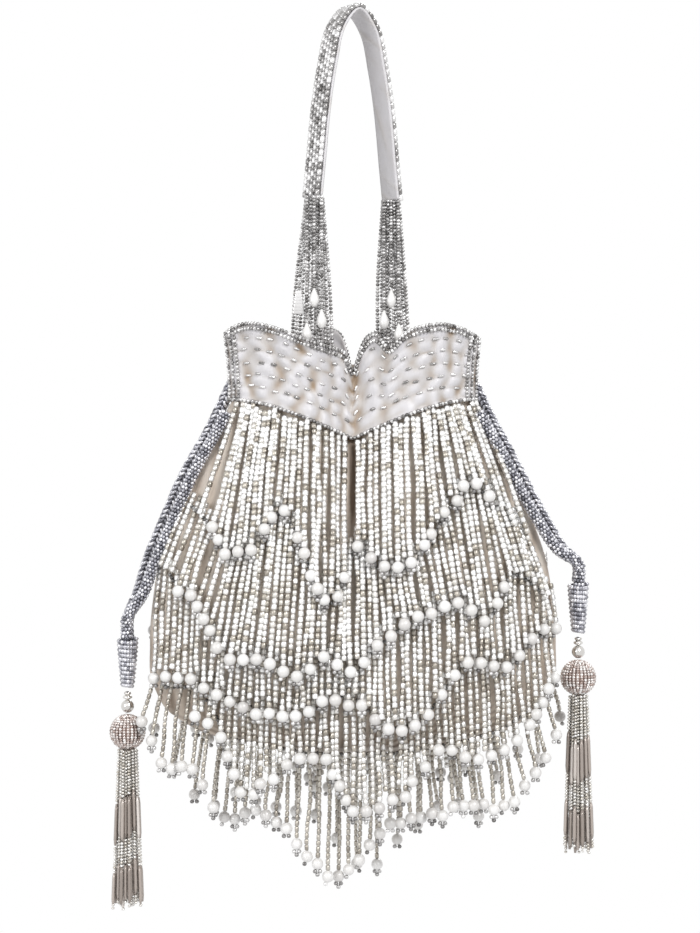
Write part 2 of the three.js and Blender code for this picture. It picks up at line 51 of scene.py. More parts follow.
def addNode(tree, kind, settings=None, links=None):
    node = tree.nodes.new(kind)
    for key, value in (settings or {}).items():
        if isinstance(key, int) or key in node.inputs:
            node.inputs[key].default_value = value
        else:
            setattr(node, key, value)
    for socket, source in (links or {}).items():
        tree.links.new(source, node.inputs[socket])
    return node


def setRamp(node, stops):
    ramp = node.color_ramp
    while len(ramp.elements) < len(stops):
        ramp.elements.new(0.5)
    for element, (position, color) in zip(ramp.elements, stops):
        element.position = position
        element.color = toLinear(color)


def beadMaterial(name, stops, shader):
    # glass beads differ a little one by one: each bead carries its own tone, which also paints glints on some
    # beads and shade on others
    material = bpy.data.materials.new(name)
    material.use_nodes = True
    tree = material.node_tree
    tone = addNode(tree, "ShaderNodeAttribute", {"attribute_name": "tone"})
    ramp = addNode(tree, "ShaderNodeValToRGB", links={"Fac": tone.outputs["Fac"]})
    setRamp(ramp, stops)
    principled = tree.nodes["Principled BSDF"]
    for key, value in shader.items():
        principled.inputs[key].default_value = value
    tree.links.new(ramp.outputs["Color"], principled.inputs["Base Color"])
    return material


def clothMaterial(name, stops, shader, threadMm, creaseMm, mottledShade):
    # woven satin: long floats give a soft streaky shine along the warp, fine creases break it
    material = bpy.data.materials.new(name)
    material.use_nodes = True
    tree = material.node_tree
    place = addNode(tree, "ShaderNodeTexCoord")
    # painted shade: the shade attribute, moved up and down by a large mottle noise, picks the colour along
    # the ramp from light to dark
    shade = addNode(tree, "ShaderNodeAttribute", {"attribute_name": "shade"})
    mottle = addNode(tree, "ShaderNodeTexNoise", {"Scale": 1 / (creaseMm * 3 * mm), "Detail": 3.0},
                     {"Vector": place.outputs["Object"]})
    lean = addNode(tree, "ShaderNodeMath", {"operation": "MULTIPLY_ADD", 1: mottledShade, 2: -mottledShade / 2},
                   {0: mottle.outputs["Fac"]})
    depth = addNode(tree, "ShaderNodeMath", {"operation": "ADD", "use_clamp": True},
                    {0: shade.outputs["Fac"], 1: lean.outputs[0]})
    ramp = addNode(tree, "ShaderNodeValToRGB", links={"Fac": depth.outputs[0]})
    setRamp(ramp, stops)
    stretch = addNode(tree, "ShaderNodeMapping", {"Scale": (1, 1, 0.12)}, {"Vector": place.outputs["Object"]})
    crease = addNode(tree, "ShaderNodeTexNoise", {"Scale": 1 / (creaseMm * mm), "Detail": 4.0},
                     {"Vector": stretch.outputs["Vector"]})
    thread = addNode(tree, "ShaderNodeTexNoise", {"Scale": 1 / (threadMm * mm), "Detail": 1.0},
                     {"Vector": stretch.outputs["Vector"]})
    height = addNode(tree, "ShaderNodeMath", {"operation": "MULTIPLY_ADD", 1: 0.25},
                     {0: thread.outputs["Fac"], 2: crease.outputs["Fac"]})
    bump = addNode(tree, "ShaderNodeBump", {"Strength": 0.45, "Distance": 0.0006},
                   {"Height": height.outputs[0]})
    principled = tree.nodes["Principled BSDF"]
    for key, value in shader.items():
        principled.inputs[key].default_value = value
    tree.links.new(ramp.outputs["Color"], principled.inputs["Base Color"])
    tree.links.new(bump.outputs["Normal"], principled.inputs["Normal"])
    return material


# silver-lined clear glass: painted white glints over a khaki colour
silverLinedGlass = beadMaterial("silverLinedGlass", [
    (0.0, "#888075"), (0.35, "#c2bcb2"), (0.65, "#e4e2df"), (1.0, "#ffffff")],
    {"Roughness": 0.2, "Metallic": 0.6, "IOR": 1.52, "Coat Weight": 0.8, "Coat Roughness": 0.05})
# galvanised seed beads: grey metal skin on glass; the dark end of the ramp is painted shade, as on beads
# turned away from the light
silverSeed = beadMaterial("galvanisedSeed", [
    (0.0, "#524f4d"), (0.5, "#989695"), (1.0, "#efeeee")],
    {"Roughness": 0.2, "Metallic": 0.55, "IOR": 1.52, "Coat Weight": 0.5, "Coat Roughness": 0.08})
# smoke-grey seed beads of the ropes, with a slight blue cast
smokeSeed = beadMaterial("smokeSeed", [
    (0.0, "#47474f"), (0.5, "#8e8e97"), (1.0, "#ebebf0")],
    {"Roughness": 0.18, "Metallic": 0.5, "IOR": 1.52, "Coat Weight": 0.6, "Coat Roughness": 0.06})
# rose-lined seed beads of the tassel balls: clear glass over a pinkish lining; the pale end of the ramp is a
# painted highlight, as on beads facing the light
roseSeed = beadMaterial("roseLinedSeed", [
    (0.0, "#7c6a62"), (0.5, "#b2a099"), (1.0, "#f1eeec")],
    {"Roughness": 0.2, "Metallic": 0.4, "IOR": 1.52, "Coat Weight": 0.6, "Coat Roughness": 0.06})
# taupe bugle beads: smooth drawn tube, long soft highlights
taupeBugle = beadMaterial("taupeBugle", [
    (0.0, "#8f847c"), (0.5, "#b3a8a0"), (1.0, "#e2dbd5")],
    {"Roughness": 0.18, "Metallic": 0.2, "IOR": 1.52, "Coat Weight": 0.7, "Coat Roughness": 0.06})
# imitation pearl: white lacquer over a bead, satin with a soft bright spot
whitePearl = beadMaterial("lacquerPearl", [
    (0.0, "#d4d1cf"), (0.5, "#e4e2e0"), (1.0, "#f1f0ef")],
    {"Roughness": 0.28, "IOR": 1.6, "Coat Weight": 0.6, "Coat Roughness": 0.1})
# plated metal bead: smooth and bright
platedSilver = beadMaterial("platedSilver", [
    (0.0, "#a6a29e"), (1.0, "#e9e7e4")], {"Roughness": 0.16, "Metallic": 1.0})
# rosy lacquered core of the tassel balls
rosyCore = beadMaterial("rosyCore", [
    (0.0, "#85685c"), (1.0, "#ab9084")], {"Roughness": 0.4, "Metallic": 0.2})
# cream satin of the collar and the handle, with painted shade: cool white where it puffs out, tan in its
# creases
creamSatin = clothMaterial("creamSatin", [
    (0.0, "#d5d3d6"), (0.45, "#c4bfbc"), (1.0, "#9d8974")],
    {"Roughness": 0.42, "Sheen Weight": 0.25, "Sheen Roughness": 0.4},
    threadMm=0.5, creaseMm=3.0, mottledShade=0.35)
# tan satin of the pouch: a warm ground behind the strands, with painted shade that makes it dark in its folds
tanSatin = clothMaterial("tanSatin", [
    (0.0, "#e6ddd3"), (0.5, "#cfc1b3"), (1.0, "#6f5b48")],
    {"Roughness": 0.5, "Sheen Weight": 0.2, "Sheen Roughness": 0.4},
    threadMm=0.5, creaseMm=3.5, mottledShade=0.4)


# cloth form, in millimetres, the same as the solids

form = {
    "neckZ": -176.0, "pouchHeight": 160.0, "collarTop": -143.0, "collarHeight": 33.0,
    "neckHalfWidth": 56.0, "bodyHalfWidth": 92.0, "neckHalfDepth": 17.0, "bodyHalfDepth": 34.0,
    "collarFlare": 6.0, "collarLean": 4.0, "collarDip": 18.0, "foldHalfWidth": 14.0,
}


def smoothLine(pairs):
    # a smooth line through (position, value) pairs, level beyond its ends
    xs = np.array([p[0] for p in pairs], float)
    ys = np.array([p[1] for p in pairs], float)
    slopes = np.gradient(ys, xs)

    def read(at):
        at = np.clip(at, xs[0], xs[-1])
        i = np.clip(np.searchsorted(xs, at) - 1, 0, len(xs) - 2)
        h = xs[i + 1] - xs[i]
        t = (at - xs[i]) / h
        return ((2 * t**3 - 3 * t**2 + 1) * ys[i] + (t**3 - 2 * t**2 + t) * h * slopes[i]
                + (3 * t**2 - 2 * t**3) * ys[i + 1] + (t**3 - t**2) * h * slopes[i + 1])
    return read


def growth(low, high, share):
    return low + (high - low) * share


neckW, bodyW = form["neckHalfWidth"], form["bodyHalfWidth"]
neckD, bodyD = form["neckHalfDepth"], form["bodyHalfDepth"]
tall = form["pouchHeight"]
halfWidth = smoothLine([
    (-form["collarHeight"], neckW + form["collarFlare"]), (-11, neckW + form["collarFlare"] / 5), (0, neckW),
    (tall * 0.09, growth(neckW, bodyW, 0.15)), (tall * 0.2, growth(neckW, bodyW, 0.43)),
    (tall * 0.31, growth(neckW, bodyW, 0.65)), (tall * 0.43, growth(neckW, bodyW, 0.85)),
    (tall * 0.56, growth(neckW, bodyW, 0.96)), (tall * 0.69, bodyW), (tall * 0.81, bodyW * 0.98),
    (tall * 0.9, bodyW * 0.86), (tall * 0.96, bodyW * 0.62), (tall, bodyW * 0.25)])
halfDepth = smoothLine([
    (-form["collarHeight"], neckD + form["collarLean"]), (-11, neckD + form["collarLean"] / 8), (0, neckD),
    (tall * 0.09, growth(neckD, bodyD, 0.18)), (tall * 0.2, growth(neckD, bodyD, 0.53)),
    (tall * 0.31, growth(neckD, bodyD, 0.82)), (tall * 0.43, bodyD), (tall * 0.56, bodyD),
    (tall * 0.69, bodyD * 0.91), (tall * 0.81, bodyD * 0.76), (tall * 0.9, bodyD * 0.58),
    (tall * 0.96, bodyD * 0.38), (tall, bodyD * 0.16)])
foldDepth = smoothLine([
    (0, 0.75), (tall * 0.2, 0.55), (tall * 0.31, 0.38), (tall * 0.43, 0.22), (tall * 0.56, 0.08),
    (tall * 0.69, 0)])


def clothOut(x, z):
    # how far the cloth stands off the bag's middle plane
    drop = form["neckZ"] - z
    across = min(1.0, abs(x) / float(halfWidth(drop)))
    fold = 1 - float(foldDepth(drop)) * math.exp(-((x / form["foldHalfWidth"]) ** 2))
    return float(halfDepth(drop)) * (1 - across * across) ** 0.6 * fold


# shared pieces of making

def keepMesh(name, mesh, material, body, replaced=()):
    piece = bpy.data.objects.new(name, mesh)
    bpy.context.scene.collection.objects.link(piece)
    mesh.materials.append(material)
    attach(piece, body)
    if replaced:
        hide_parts(*replaced)
    return piece


def template(make):
    # one small bead shape from bmesh operators, kept as arrays to be strung many times
    bm = bmesh.new()
    make(bm)
    bmesh.ops.recalc_face_normals(bm, faces=bm.faces)
    bm.verts.ensure_lookup_table()
    points = np.array([v.co[:] for v in bm.verts])
    loops = [[v.index for v in face.verts] for face in bm.faces]
    bm.free()
    starts = np.cumsum([0] + [len(loop) for loop in loops[:-1]])
    return points, np.concatenate(loops), starts


def stringMesh(name, shape, frames, tones):
    # puts one bead shape at every frame (3x4, mm) and gives each bead its tone
    points, loops, starts = shape
    frames = np.asarray(frames, float)
    count = len(frames)
    placed = np.einsum("nij,vj->nvi", frames[:, :, :3], points) + frames[:, None, :, 3]
    mesh = bpy.data.meshes.new(name)
    mesh.vertices.add(count * len(points))
    mesh.vertices.foreach_set("co", (placed * mm).astype(np.float32).ravel())
    allLoops = (loops[None, :] + (np.arange(count) * len(points))[:, None]).ravel()
    mesh.loops.add(len(allLoops))
    mesh.loops.foreach_set("vertex_index", allLoops.astype(np.int32))
    allStarts = (starts[None, :] + (np.arange(count) * len(loops))[:, None]).ravel()
    mesh.polygons.add(len(allStarts))
    mesh.polygons.foreach_set("loop_start", allStarts.astype(np.int32))
    mesh.update(calc_edges=True)
    mesh.validate()
    mesh.shade_smooth()
    tone = mesh.attributes.new("tone", "FLOAT", "POINT")
    tone.data.foreach_set("value", np.repeat(np.asarray(tones, np.float32), len(points)))
    return mesh


def frameAt(point, along, size=(1, 1, 1), spin=0.0):
    # a bead's own axis is its Z: turned to run along the thread
    along = np.asarray(along, float)
    along = along / np.linalg.norm(along)
    helper = np.array([0.0, 1.0, 0.0]) if abs(along[1]) < 0.9 else np.array([1.0, 0.0, 0.0])
    side = np.cross(helper, along)
    side /= np.linalg.norm(side)
    front = np.cross(along, side)
    c, s = math.cos(spin), math.sin(spin)
    turned = np.stack([(side * c + front * s) * size[0], (front * c - side * s) * size[1],
                       along * size[2]], 1)
    return np.concatenate([turned, np.asarray(point, float)[:, None]], 1)


def smoothPath(points, count):
    points = np.asarray(points, float)
    chord = np.concatenate([[0], np.cumsum(np.sqrt(np.linalg.norm(np.diff(points, axis=0), axis=1)))])
    lines = [smoothLine(list(zip(chord, points[:, k]))) for k in range(3)]
    at = np.linspace(0, chord[-1], count)
    return np.stack([line(at) for line in lines], 1)


def walk(path, spacing, start=0.0):
    # places and directions at even steps along a path
    path = np.asarray(path, float)
    steps = np.linalg.norm(np.diff(path, axis=0), axis=1)
    length = np.concatenate([[0], np.cumsum(steps)])
    at = np.arange(start, length[-1] + 1e-6, spacing)
    places = np.stack([np.interp(at, length, path[:, k]) for k in range(3)], 1)
    ahead = np.stack([np.interp(np.minimum(at + 0.5, length[-1]), length, path[:, k])
                      - np.interp(np.maximum(at - 0.5, 0), length, path[:, k]) for k in range(3)], 1)
    return places, ahead


def strung(path, size, spacing, start=0.0):
    # beads of one size threaded along a path
    return [frameAt(place, along, size) for place, along in zip(*walk(path, spacing, start))]


def tonesAround(middle, spread, count):
    return np.clip(rng.normal(middle, spread, count), 0, 1)


def keepBeads(name, shape, frames, tones, material, body, replaced=()):
    return keepMesh(name, stringMesh(name, shape, frames, tones), material, body, replaced)


def halfTurn(frames):
    # the back of the bag is the front turned half round
    turn = np.diag([-1.0, -1.0, 1.0])
    return [turn @ f for f in frames]


def clothGrid(name, across, down, place, thickness, material, body, replaced=()):
    # a grid of cloth shaped point by point; place gives x, y, z and the shade of its crease
    bm = bmesh.new()
    bmesh.ops.create_grid(bm, x_segments=across, y_segments=down, size=1.0)
    shades = {}
    for vert in bm.verts:
        x, y, z, shade = place((vert.co.x + 1) / 2, (vert.co.y + 1) / 2)
        vert.co = (x * mm, y * mm, z * mm)
        shades[vert.index] = shade
    layer = bm.verts.layers.float.new("shade")
    for vert in bm.verts:
        vert[layer] = shades[vert.index]
    bmesh.ops.remove_doubles(bm, verts=bm.verts, dist=2e-5)
    bmesh.ops.recalc_face_normals(bm, faces=bm.faces)
    mesh = bpy.data.meshes.new(name)
    bm.to_mesh(mesh)
    bm.free()
    mesh.shade_smooth()
    piece = keepMesh(name, mesh, material, body, replaced)
    solid = piece.modifiers.new("thickness", "SOLIDIFY")
    solid.thickness = thickness * mm
    solid.offset = 0.0
    return piece


upright = (0, 0, 1)


def makeSeed(bm):
    bmesh.ops.create_uvsphere(bm, u_segments=6, v_segments=4, radius=0.5)


def makeTube(bm):
    bmesh.ops.create_cone(bm, cap_ends=True, segments=5, radius1=0.5, radius2=0.5, depth=1.0)
    rims = [e for e in bm.edges if abs(e.verts[0].co.z - e.verts[1].co.z) < 1e-6]
    bmesh.ops.bevel(bm, geom=rims, offset=0.14, segments=1, profile=0.5, affect="EDGES", material=-1)


def makePearl(bm):
    bmesh.ops.create_uvsphere(bm, u_segments=14, v_segments=9, radius=0.5)


def makeTeardrop(bm):
    bmesh.ops.create_uvsphere(bm, u_segments=12, v_segments=10, radius=0.5)
    for vert in bm.verts:
        taper = 1 - 0.75 * max(0.0, vert.co.z + 0.1) / 0.6
        vert.co.x *= taper
        vert.co.y *= taper


seedShape = template(makeSeed)
tubeShape = template(makeTube)
pearlShape = template(makePearl)
teardropShape = template(makeTeardrop)
print("bead shapes ready")


# pouch: tan satin, lightly puckered, seen between the strands

pouchCloth = {"around": 160, "down": 60, "rim": -160.0, "thickness": 0.6, "inset": 0.4, "tuck": 0.07,
              "pucker": 0.6, "pitch": 7.0, "partingWidth": 3.0, "partingReach": 90.0, "lowFrom": 0.75}


def pouchPlace(u, v):
    angle = 2 * math.pi * u
    z = growth(form["neckZ"] - tall + 1.0, pouchCloth["rim"], v)
    drop = form["neckZ"] - z
    width = float(halfWidth(drop)) - pouchCloth["inset"]
    width *= 1 - pouchCloth["tuck"] * min(1.0, max(0.0, (4 - drop) / 12))  # drawn in behind the collar
    x = width * math.cos(angle)
    out = max(0.0, clothOut(x, z) - pouchCloth["inset"])
    gather = math.cos(2 * math.pi * x / pouchCloth["pitch"] + 3 * math.sin(z / 23))
    out = max(0.0, out - pouchCloth["pucker"] * (0.5 + 0.5 * gather) * min(1.0, out / 6))
    if v == 0:
        out = 0.0
    side = 0.0 if abs(math.sin(angle)) < 1e-6 else math.copysign(1, math.sin(angle))
    # painted shadow along the parting crease, fading out below the neck
    parting = 0.0
    if drop > 0:
        parting = math.exp(-((x / pouchCloth["partingWidth"]) ** 2))
        parting *= max(0.0, 1 - drop / pouchCloth["partingReach"])
    low = max(0.0, drop / tall - pouchCloth["lowFrom"]) / (1 - pouchCloth["lowFrom"])
    # the fourth value is painted shade: darker in the pucker valleys, in the parting crease and towards the
    # bottom
    return x, side * out, z, 0.4 + 0.25 * gather + 1.3 * parting + 0.5 * low


pouch = clothGrid("pouchCloth", pouchCloth["around"], pouchCloth["down"], pouchPlace, pouchCloth["thickness"],
                  tanSatin, "bag", ["pouch"])
print("pouch cloth done")


# collar: cream satin flaps, gathered at the foot and flaring to a waved edge

collar = {"across": 180, "down": 28, "thickness": 0.7, "reach": 0.94, "footReach": 0.06, "seat": 1.9,
          "gatherPitch": 11.0, "gatherDepth": 0.7, "notch": 9.0, "notchWidth": 0.045, "crease": 2.2,
          "creaseDepth": 1.6, "puff": 1.1, "puffPitch": 8.2, "rows": 5, "firstRow": 0.06, "rowStep": 0.155,
          "dashes": 20, "dashBead": (1.2, 1.2, 2.7), "edgeRows": (0.0, 2.1, 4.2), "edgeBead": (2.1, 2.1, 1.7),
          "edgeStep": 1.75, "footBead": (2.2, 2.2, 1.8), "footStep": 1.85}
frontCrest = smoothLine([
    (-1, 6), (-0.84, 0), (-0.6, 0.5), (-0.42, 5), (-0.22, 9), (-0.06, 11), (0.04, 10),
    (0.16, 4), (0.27, 10), (0.38, 4), (0.55, 0), (0.82, 2), (1, 8)])
backCrest = smoothLine([
    (-1, 6), (-0.84, 2), (-0.6, 4), (-0.36, 3), (-0.24, 0.5), (-0.12, 3), (0, 11), (0.1, 2),
    (0.22, 0), (0.36, 2), (0.5, 3), (0.82, 2), (1, 8)])
# small waves of the cloth: pitch, way, start and depth
crumples = [(float(rng.uniform(5.5, 15)), float(rng.uniform(-1.3, 1.3)), float(rng.uniform(0, 6.28)),
             float(rng.uniform(0.14, 0.36))) for _ in range(12)]


def collarFoot(x):
    return form["neckZ"] - form["collarDip"] * max(0.0, 1 - abs(x) / neckW) ** 1.6


def collarPlace(crest, u, v, outward=0.0):
    across = (collar["reach"] + collar["footReach"] * (1 - v)) * (2 * u - 1)
    footX = across * neckW
    notch = collar["notch"] * math.exp(-((across / collar["notchWidth"]) ** 2))
    z = growth(collarFoot(footX), form["collarTop"] - float(crest(across)) - notch, v)
    x = across * float(halfWidth(form["neckZ"] - z))
    gatherAt = (footX + 1.6 * math.sin(z / 5)) / collar["gatherPitch"]
    gather = collar["gatherDepth"] * v * (1 - math.cos(2 * math.pi * gatherAt))
    fine = sum(deep * math.sin(2 * math.pi * (footX * math.cos(way) + z * math.sin(way)) / pitch + start)
               for pitch, way, start, deep in crumples)
    crease = math.exp(-((footX / collar["crease"]) ** 2))
    # between two rows of stitched dashes the cloth puffs out in uneven pleats
    puff = abs(math.sin(math.pi * (v - collar["firstRow"]) / collar["rowStep"])) ** 0.7
    uneven = 2.2 * math.sin(footX / 9 + 1.0) + 1.1 * math.sin(9 * v + footX / 6)
    puff *= 0.45 + 0.55 * math.sin(2 * math.pi * footX / collar["puffPitch"] + uneven)
    fine = 0.55 * fine + collar["puff"] * puff
    y = -(clothOut(x, z) + collar["seat"] + gather + fine - collar["creaseDepth"] * crease + outward)
    # the fourth value is painted shade: lighter where the cloth stands out in puffs, darker in the middle
    # crease
    return x, y, z, min(1.0, max(0.0, 0.5 - 0.6 * fine - 0.1 * gather + 0.7 * crease))


def buildCollar(side, turn, crest):
    def flapPlace(u, v):
        x, y, z, shade = collarPlace(crest, u, v)
        # the back flap gets only part of the painted crease shade, so it shows lighter
        return x * turn, y * turn, z, shade if turn > 0 else 0.4 * shade

    def sewnLine(shares):
        return [collarPlace(crest, u, v, 1.0)[:3] for u, v in shares]

    flap = clothGrid(f"collarSatin_{side}", collar["across"], collar["down"], flapPlace, collar["thickness"],
                     creamSatin, "bag", [f"collar_{side}"])
    edge = []
    for row in collar["edgeRows"]:
        inset = 0.009 * row
        left = sewnLine((inset, v) for v in np.linspace(0, 1, 24))
        top = sewnLine((u, 1 - 0.03 * row) for u in np.linspace(0, 1, 140))
        right = sewnLine((1 - inset, v) for v in np.linspace(1, 0, 24))
        # the innermost row runs along the two ends only
        lines = [left, right] if row == collar["edgeRows"][-1] else [left + top[1:] + right[1:]]
        for line in lines:
            edge += strung(line, collar["edgeBead"], collar["edgeStep"])
    foot = sewnLine((u, 0.015) for u in np.linspace(0, 1, 120))
    edge += strung(foot, collar["footBead"], collar["footStep"])
    dash = []
    for row in range(1, collar["rows"] + 1):
        for i in range(collar["dashes"]):
            u = (i + 0.5 + 0.25 * (row % 2)) / (collar["dashes"] + 0.5) + float(rng.normal(0, 0.004))
            v = collar["firstRow"] + collar["rowStep"] * row + float(rng.normal(0, 0.012))
            here, ahead = (np.array(collarPlace(crest, u + d, v, 0.9)[:3]) for d in (0, 0.006))
            dash.append(frameAt(here, ahead - here, collar["dashBead"]))
    if turn < 0:
        edge, dash = halfTurn(edge), halfTurn(dash)
    keepBeads(f"collarEdging_{side}", seedShape, edge, tonesAround(0.62, 0.24, len(edge)), silverSeed, "bag",
              [f"collar_{side}_edging"])
    keepBeads(f"collarDashes_{side}", tubeShape, dash, tonesAround(0.75, 0.2, len(dash)), silverSeed, "bag")


buildCollar("front", 1, frontCrest)
buildCollar("back", -1, backCrest)
print("collar done")


# fringe: five tiers a side, strings of silver-lined tubes with a pearl and small beads at the end

fringe = {"tube": 2.5, "tubeGap": 0.12, "pearl": 5.6, "pearlDrop": 1.2, "onPearl": 2.75, "pearlStep": 5.3,
          "smallBead": (2.3, 2.3, 2.0), "smallPlaces": ((-1.1, 4.5), (1.1, 4.5), (0, 6.0)),
          "seat": 2.4, "lift": 7.4, "lowestLift": 3.0, "rim": (4.0, 1.0, 0.5), "stagger": 1.4,
          "shortest": 22.0, "bareRise": 2.5, "partingX": -1.0, "parting": 1.6, "drawIn": 0.25,
          "drawReach": 70.0, "sparseFrom": 60.0, "rowRise": 7.1, "rowDrop": 2.0, "rowSeat": 4.3,
          "rowInset": 5.0, "rowBead": (2.2, 2.2, 1.7), "rowStep": 1.8}
# hems are (across, down) as shares of the body's half width and the pouch's height
# bright is the share of tubes with a painted glint, fewer in the lower tiers; tone is a factor on their
# tones, painted shade that darkens the two lowest tiers
tiers = [
    {"pitch": 2.9, "width": 2.8, "bright": 0.6, "tone": 1.0, "pearled": (-0.7, 0.71), "hem": [
        (-0.93, 0.26), (-0.8, 0.28), (-0.69, 0.34), (-0.6, 0.42), (-0.5, 0.41), (-0.32, 0.31), (-0.23, 0.42),
        (-0.14, 0.55), (-0.07, 0.53), (0.01, 0.4), (0.11, 0.45), (0.29, 0.44), (0.42, 0.33), (0.55, 0.23),
        (0.7, 0.29), (0.8, 0.36), (0.88, 0.4)]},
    {"fan": 0.84, "pitch": 2.9, "width": 2.75, "bright": 0.5, "tone": 1.0, "pearled": (-0.86, 0.78), "hem": [
        (-0.97, 0.46), (-0.9, 0.47), (-0.85, 0.51), (-0.74, 0.57), (-0.65, 0.67), (-0.4, 0.71), (-0.27, 0.75),
        (-0.14, 0.71), (0, 0.74), (0.12, 0.67), (0.4, 0.57), (0.53, 0.56), (0.65, 0.6), (0.76, 0.48),
        (0.86, 0.5), (0.98, 0.56)]},
    {"fan": 0.975, "pitch": 2.9, "width": 2.65, "bright": 0.48, "tone": 1.0, "pearled": (-1, 1), "hem": [
        (-1, 0.76), (-0.74, 0.78), (-0.55, 0.83), (-0.24, 0.86), (-0.01, 0.81), (0.18, 0.9),
        (0.34, 0.87), (0.53, 0.73), (0.73, 0.73), (0.93, 0.64), (0.99, 0.63)]},
    {"fan": 0.975, "pitch": 2.9, "width": 2.45, "bright": 0.42, "tone": 0.9, "pearled": (-1, 1), "hem": [
        (-0.76, 0.79), (-0.68, 0.85), (-0.53, 1.08), (-0.4, 1.04), (-0.23, 0.98), (-0.11, 1),
        (-0.02, 1.11), (0.1, 1.12), (0.24, 1.08), (0.42, 0.96), (0.61, 0.99), (0.86, 0.89), (0.98, 0.77)]},
    {"fan": 0.93, "pitch": 4.6, "width": 2.0, "bright": 0.3, "tone": 0.42, "pearled": (-1.1, 1.1), "hem": [
        (-1.03, 0.9), (-0.99, 0.95), (-0.94, 1), (-0.79, 1.01), (-0.62, 1.17), (-0.5, 1.14), (-0.27, 1.23),
        (-0.08, 1.33), (0.16, 1.19), (0.45, 1.15), (0.55, 1.12), (0.74, 1.14), (0.9, 1.03), (0.99, 0.93)]},
]
lowest = len(tiers) - 1
hemLines = [smoothLine([(a * bodyW, form["neckZ"] - d * tall) for a, d in tier["hem"]]) for tier in tiers]


def clothFoot(x):
    # the lowest height at which the cloth still reaches a place across
    widest = form["neckZ"] - tall * 0.69
    for z in np.linspace(form["neckZ"] - tall, widest, 100):
        if float(halfWidth(form["neckZ"] - z)) > abs(x) + 4:
            return z
    return widest


def rowZ(index, x):
    # the strands of a tier start under the collar or behind the hem of the tier above
    if index == 0:
        return collarFoot(x) - 0.4
    return max(float(hemLines[index - 1](x)) + fringe["rowRise"], clothFoot(x) + 2.4)


def rowPoint(index, x):
    z = max(float(hemLines[index - 1](x)) - fringe["rowDrop"], clothFoot(x) + 1)
    return x, -(clothOut(x, z) + fringe["rowSeat"]), z


def sewnX(index, hemX):
    # the top tier is drawn together at the neck, most at its sides; the others hang nearly straight
    if index == 0:
        return hemX * (1 - fringe["drawIn"] * (abs(hemX) / fringe["drawReach"]) ** 1.5)
    return hemX * tiers[index]["fan"]


def strandPath(index, hemX, hemZ, proud):
    topX = sewnX(index, hemX)
    topZ = rowZ(index, topX)
    lift = fringe["lowestLift"] if index == lowest else fringe["lift"]
    lift += proud + float(rng.normal(0, 0.2))
    sway, wave = float(rng.normal(0, 0.45)), float(rng.normal(0, 0.25))
    path, out = [], 0.0
    for q in np.linspace(0, 1, 14):
        x = growth(topX, hemX, q) + sway * math.sin(math.pi * q) + wave * math.sin(3 * math.pi * q)
        z = growth(topZ, hemZ, q)
        out = max(out, clothOut(x, z))
        path.append((x, -(out + growth(fringe["seat"] + 0.6 * proud, lift, q)), z))
    return path


def glassToneAndGlint(count, bright):
    # a given share of the beads get a painted glint near white, about one in seven stays dark
    kind = rng.random(count)
    return np.where(kind < bright, rng.uniform(0.8, 1.0, count),
                    np.where(kind < 0.85, rng.uniform(0.42, 0.75, count), rng.uniform(0.08, 0.38, count)))


def strandTubes(path, width, start):
    # threaded from the hem up, so that the lowest tube sits on its pearl
    tubes = []
    for place, along in zip(*walk(path[::-1], fringe["tube"] + fringe["tubeGap"], start)):
        if np.linalg.norm(place - path[0]) < fringe["tube"] * 0.3:
            continue
        wide = width * float(rng.uniform(0.93, 1.06))
        tubes.append(frameAt(place, along, (wide, wide, fringe["tube"]), float(rng.uniform(0, 1))))
    return tubes


def isLeftOut(index, k, hemX, hemZ):
    # strands past the rim of the cloth, in the parting, or every second one at the sides of the top tier
    if index < len(fringe["rim"]):
        if abs(hemX) > float(halfWidth(form["neckZ"] - hemZ)) - fringe["rim"][index]:
            return True
    inParting = abs(hemX - fringe["partingX"]) < fringe["parting"]
    return index == 0 and (inParting or (abs(hemX) > fringe["sparseFrom"] and k % 2 == 1))


